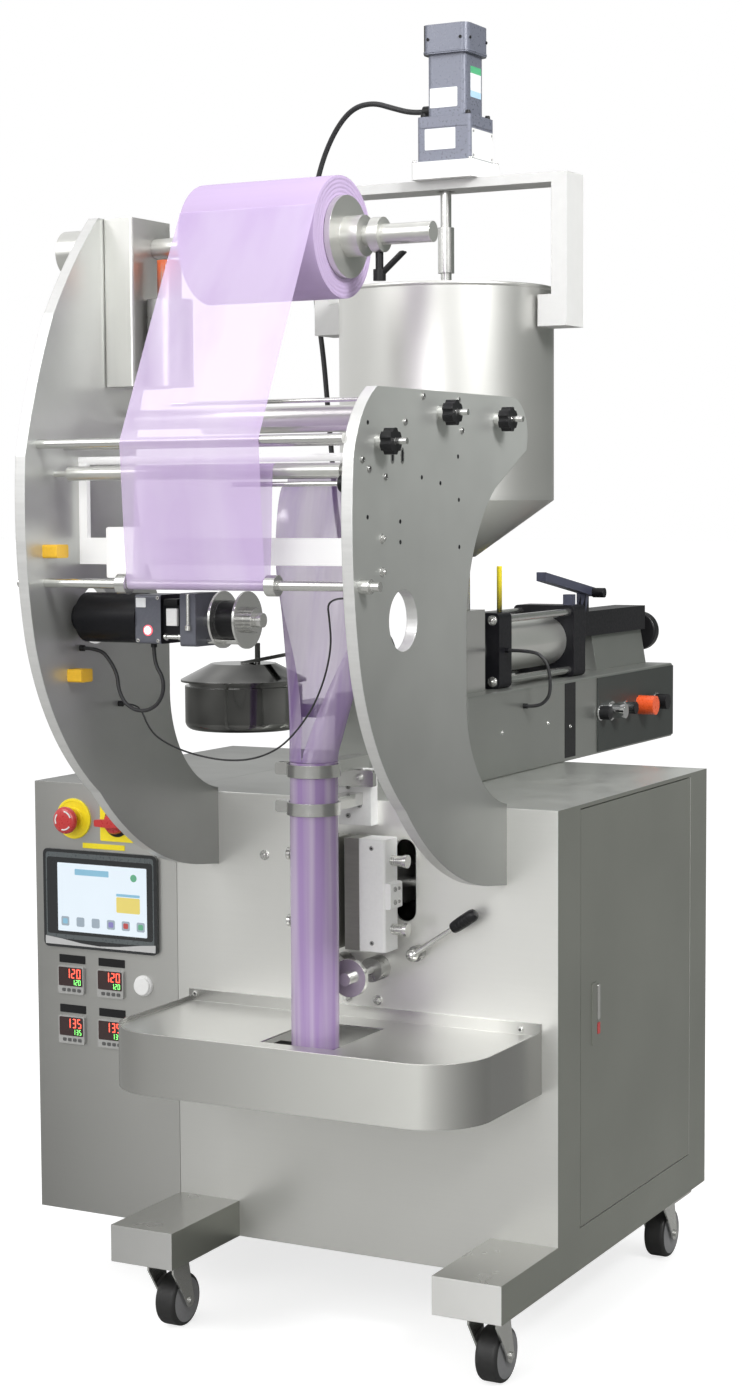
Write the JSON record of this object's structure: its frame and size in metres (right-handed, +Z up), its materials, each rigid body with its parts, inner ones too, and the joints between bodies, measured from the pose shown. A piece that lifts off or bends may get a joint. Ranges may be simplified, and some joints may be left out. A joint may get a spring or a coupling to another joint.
{
  "type": "vertical form fill seal machine",
  "caption": "Vertical sachet packer on casters: film roll between swept side plates, forming tube, sealing jaws, tray, piston filler with stirred hopper, cabinet with touch screen.",
  "frame": {"origin": "centre of the floor area under the machine, at floor level", "axes": "X to the right seen from the front, Y to the back, Z up"},
  "size_m": [0.8496, 1.5401, 1.853],
  "materials": {
    "aluminium": "satin",
    "black_plastic": "matte",
    "bright_steel": "polished",
    "dark_paint": "satin",
    "film": "translucent",
    "grey_paint": "satin",
    "panel_plastic": "gloss",
    "plate_steel": "brushed",
    "red_plastic": "gloss",
    "stainless": "brushed",
    "tyre_rubber": "matte",
    "yellow_plastic": "gloss"
  },
  "bodies": {
    "machine": {"control_cabinet": "stainless", "main_cabinet": "stainless", "front_plate": "stainless", "skid_legs": "stainless", "caster_plates": "bright_steel", "front_tray": "stainless", "touch_screen": "panel_plastic", "panel_instruments": "black_plastic", "side_plate_left": "plate_steel", "side_plate_right": "plate_steel", "cross_bars": "bright_steel", "film_rollers": "aluminium", "plate_knobs": "black_plastic", "sensor_bar": "aluminium", "edge_sensors": "yellow_plastic", "brake_hub": "aluminium", "unwind_housing": "aluminium", "unwind_motor": "dark_paint", "film_web": "film", "film_tube": "film", "tube_rings": "bright_steel", "front_bosses": "black_plastic", "cross_jaws": "dark_paint", "filler_base": "stainless", "filler_panel": "dark_paint", "filler_cylinder": "dark_paint", "volume_knob": "black_plastic", "cylinder_cover": "stainless", "valve_body": "stainless", "hopper": "stainless", "stirrer_beam": "aluminium", "stirrer_drive": "grey_paint", "round_pan": "bright_steel", "date_coder": "dark_paint", "coder_spools": "aluminium", "cord_glands": "black_plastic", "stirrer_cable": "black_plastic", "coder_cable": "black_plastic", "sensor_wire": "black_plastic", "filler_hose": "black_plastic"},
    "door": {"side_door": "stainless"},
    "film_spool": {"roll_shaft": "bright_steel", "film_roll": "film", "roll_clamp": "black_plastic"},
    "mixer": {"stirrer": "bright_steel"},
    "pull_roller_right": {"pull_wheel_right": "plate_steel"},
    "pull_roller_left": {"pull_wheel_left": "plate_steel"},
    "seal_jaw_right": {"vertical_jaw_right": "aluminium"},
    "seal_jaw_left": {"vertical_jaw_left": "aluminium"},
    "nip_lever": {"hand_lever": "black_plastic"},
    "selector": {"selector_switch": "red_plastic"},
    "stop_button": {"emergency_stop": "red_plastic"},
    "swivel_left_front": {"caster_fork_left_front": "bright_steel"},
    "wheel_left_front": {"caster_wheel_left_front": "tyre_rubber"},
    "swivel_left_rear": {"caster_fork_left_rear": "bright_steel"},
    "wheel_left_rear": {"caster_wheel_left_rear": "tyre_rubber"},
    "swivel_right_front": {"caster_fork_right_front": "bright_steel"},
    "wheel_right_front": {"caster_wheel_right_front": "tyre_rubber"},
    "swivel_right_rear": {"caster_fork_right_rear": "bright_steel"},
    "wheel_right_rear": {"caster_wheel_right_rear": "tyre_rubber"}
  },
  "joints": [
    {"name": "door_hinge", "type": "hinge", "parent": "machine", "child": "door", "pos_m": [0.42025, 0.182, 0.459], "axis": [0, 0, 1], "range_deg": [0, 110]},
    {"name": "roll_unwind", "type": "hinge", "parent": "machine", "child": "film_spool", "pos_m": [0.12125, -0.53, 1.5], "axis": [1, 0, 0], "continuous": true},
    {"name": "stirrer_turn", "type": "hinge", "parent": "machine", "child": "mixer", "pos_m": [0.11525, -0.018, 1.476], "axis": [0, 0, 1], "continuous": true},
    {"name": "pull_turn_right", "type": "hinge", "parent": "machine", "child": "pull_roller_right", "pos_m": [0.15425, -0.406, 0.523], "axis": [0, 1, 0], "continuous": true},
    {"name": "jaw_slide_right", "type": "slide", "parent": "machine", "child": "seal_jaw_right", "axis": [1, 0, 0], "range_m": [0, 0.012]},
    {"name": "pull_turn_left", "type": "hinge", "parent": "machine", "child": "pull_roller_left", "pos_m": [0.10025, -0.406, 0.523], "axis": [0, 1, 0], "continuous": true},
    {"name": "jaw_slide_left", "type": "slide", "parent": "machine", "child": "seal_jaw_left", "axis": [-1, 0, 0], "range_m": [0, 0.012]},
    {"name": "lever_turn", "type": "hinge", "parent": "machine", "child": "nip_lever", "pos_m": [0.21525, -0.327, 0.548], "axis": [0, 1, 0], "range_deg": [-30, 25]},
    {"name": "selector_turn", "type": "hinge", "parent": "machine", "child": "selector", "pos_m": [-0.27775, -0.315, 0.701], "axis": [0, 1, 0], "range_deg": [0, 90]},
    {"name": "stop_press", "type": "slide", "parent": "machine", "child": "stop_button", "axis": [0, 1, 0], "range_m": [0, 0.006], "stiffness_N_per_m": 900},
    {"name": "swivel_turn_left_front", "type": "hinge", "parent": "machine", "child": "swivel_left_front", "pos_m": [-0.12675, -0.429, 0.105], "axis": [0, 0, 1], "continuous": true},
    {"name": "wheel_turn_left_front", "type": "hinge", "parent": "swivel_left_front", "child": "wheel_left_front", "pos_m": [-0.12675, -0.405, 0.0375], "axis": [1, 0, 0], "continuous": true},
    {"name": "swivel_turn_left_rear", "type": "hinge", "parent": "machine", "child": "swivel_left_rear", "pos_m": [-0.12675, 0.178, 0.105], "axis": [0, 0, 1], "continuous": true},
    {"name": "wheel_turn_left_rear", "type": "hinge", "parent": "swivel_left_rear", "child": "wheel_left_rear", "pos_m": [-0.12675, 0.202, 0.0375], "axis": [1, 0, 0], "continuous": true},
    {"name": "swivel_turn_right_front", "type": "hinge", "parent": "machine", "child": "swivel_right_front", "pos_m": [0.37325, -0.429, 0.105], "axis": [0, 0, 1], "continuous": true},
    {"name": "wheel_turn_right_front", "type": "hinge", "parent": "swivel_right_front", "child": "wheel_right_front", "pos_m": [0.37325, -0.405, 0.0375], "axis": [1, 0, 0], "continuous": true},
    {"name": "swivel_turn_right_rear", "type": "hinge", "parent": "machine", "child": "swivel_right_rear", "pos_m": [0.37325, 0.178, 0.105], "axis": [0, 0, 1], "continuous": true},
    {"name": "wheel_turn_right_rear", "type": "hinge", "parent": "swivel_right_rear", "child": "wheel_right_rear", "pos_m": [0.37325, 0.202, 0.0375], "axis": [1, 0, 0], "continuous": true}
  ],
  "couplings": [
    {"joint": "pull_turn_left", "follows": "pull_turn_right", "ratio": -1},
    {"joint": "jaw_slide_left", "follows": "jaw_slide_right", "ratio": 1}
  ]
}
